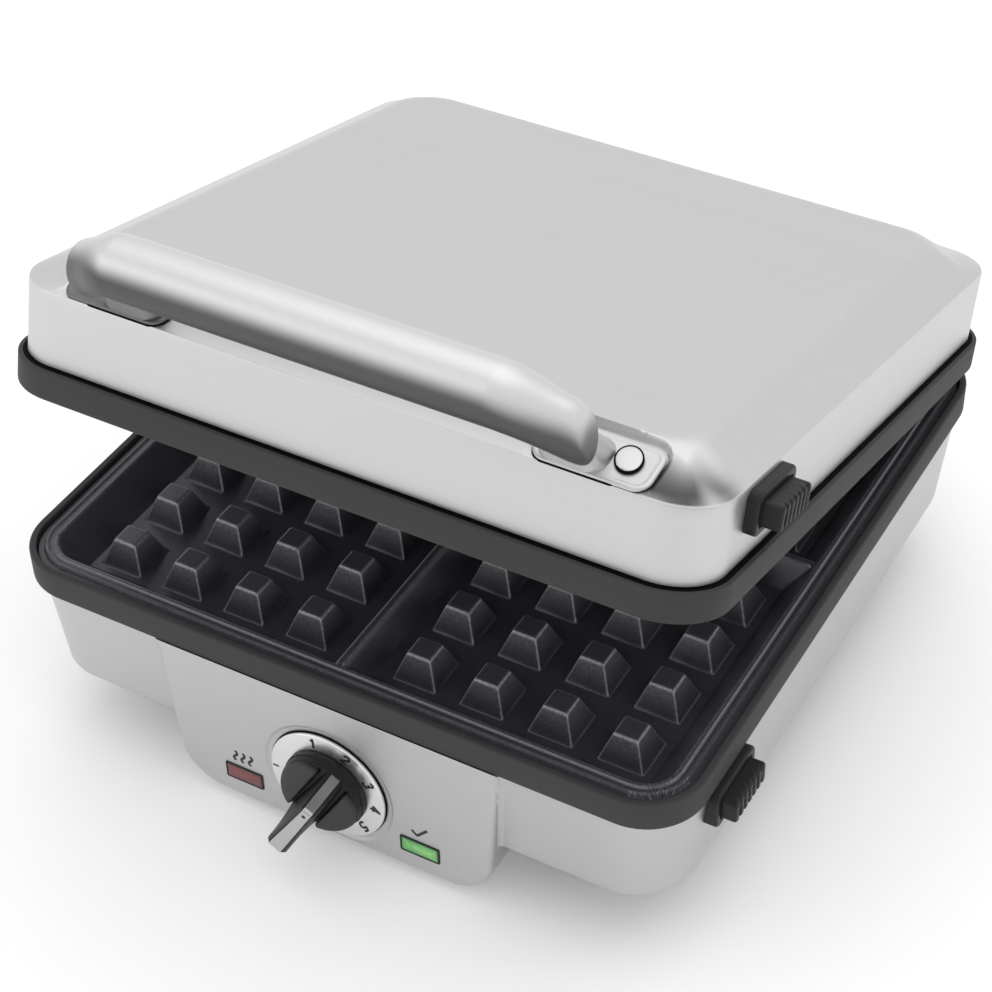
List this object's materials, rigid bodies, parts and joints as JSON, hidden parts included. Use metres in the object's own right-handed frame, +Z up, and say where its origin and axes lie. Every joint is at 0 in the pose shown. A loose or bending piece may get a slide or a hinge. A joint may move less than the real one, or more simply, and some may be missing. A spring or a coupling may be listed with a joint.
{
  "type": "belgian waffle maker",
  "caption": "Countertop waffle maker: a hinged steel lid with a bow handle, removable grid plates, a thermostat dial on a front console and plate releases at the side.",
  "frame": {"origin": "centre of the bounding box's footprint, on the surface that the rubber feet stand on", "axes": "+X to the right as the user sees it, +Y towards the hinge at the back, +Z up; the lid stands 14.8 degrees open at rest"},
  "size_m": [0.3086, 0.3469, 0.2596],
  "materials": {
    "lid_steel": "brushed, satin",
    "housing_steel": "brushed, satin",
    "frame_plastic": "fine matt",
    "black_plastic": "fine matt",
    "knob_plastic": "satin",
    "plate_coating": "dark non-stick coating, satin",
    "tray_metal": "bright sheet",
    "element_metal": "dull sheath",
    "handle_metal": "brushed cast metal",
    "dial_silver": "fine satin",
    "screw_steel": "bright zinc",
    "red_lens": "clear moulded, gloss",
    "green_lens": "clear moulded, gloss, lit",
    "lamp_glass": "clear",
    "foot_rubber": "matt"
  },
  "bodies": {
    "base": {"base_housing": "housing_steel", "base_frame": "frame_plastic", "lower_plate": "plate_coating", "lower_heater_tray": "tray_metal", "lower_heating_element": "element_metal", "lower_rack_front": "tray_metal", "lower_rack_rear": "tray_metal", "bottom_cover": "black_plastic", "foot_front_left": "foot_rubber", "foot_front_right": "foot_rubber", "foot_rear_left": "foot_rubber", "foot_rear_right": "foot_rubber", "cover_screw_1": "screw_steel", "cover_screw_2": "screw_steel", "cover_screw_3": "screw_steel", "cover_screw_4": "screw_steel", "thermostat": "black_plastic", "dial_ring": "dial_silver", "heating_lens_frame": "black_plastic", "heating_lens": "red_lens", "heating_lamp": "lamp_glass", "ready_lens_frame": "black_plastic", "ready_lens": "green_lens", "ready_lamp": "lamp_glass", "lower_escutcheon": "black_plastic", "hinge_bracket_left": "frame_plastic", "hinge_pin_left": "screw_steel", "hinge_bracket_right": "frame_plastic", "hinge_pin_right": "screw_steel", "cord_gland": "foot_rubber"},
    "lid": {"hinge_arm_left": "frame_plastic", "hinge_arm_right": "frame_plastic", "lid_frame": "frame_plastic", "upper_plate": "plate_coating", "upper_heater_tray": "tray_metal", "upper_heating_element": "element_metal", "upper_rack_front": "tray_metal", "upper_rack_rear": "tray_metal", "lid_cover": "lid_steel", "lid_handle": "handle_metal", "handle_cap_left": "dial_silver", "handle_screw_left": "screw_steel", "handle_cap_right": "dial_silver", "handle_screw_right": "screw_steel", "upper_escutcheon": "black_plastic"},
    "knob": {"control_knob": "knob_plastic", "knob_inlay": "dial_silver", "thermostat_shaft": "screw_steel"},
    "lower_release": {"lower_release_button": "black_plastic", "lower_latch": "screw_steel", "lower_release_spring": "screw_steel"},
    "upper_release": {"upper_release_button": "black_plastic", "upper_latch": "screw_steel", "upper_release_spring": "screw_steel"}
  },
  "joints": [
    {"name": "lid_hinge", "type": "hinge", "parent": "base", "child": "lid", "pos_m": [-0.0043, 0.16293, 0.084], "axis": [-1, 0, 0], "range_deg": [-14.8, 80]},
    {"name": "knob_turn", "type": "hinge", "parent": "base", "child": "knob", "pos_m": [-0.0043, -0.14957, 0.034], "axis": [0, 1, 0], "range_deg": [-122, 103]},
    {"name": "lower_release_push", "type": "slide", "parent": "base", "child": "lower_release", "axis": [-1, 0, 0], "range_m": [0, 0.003], "stiffness_N_per_m": 1200, "springref_m": -0.002},
    {"name": "upper_release_push", "type": "slide", "parent": "lid", "child": "upper_release", "axis": [-1, 0, 0], "range_m": [0, 0.003], "stiffness_N_per_m": 1200, "springref_m": -0.002}
  ]
}
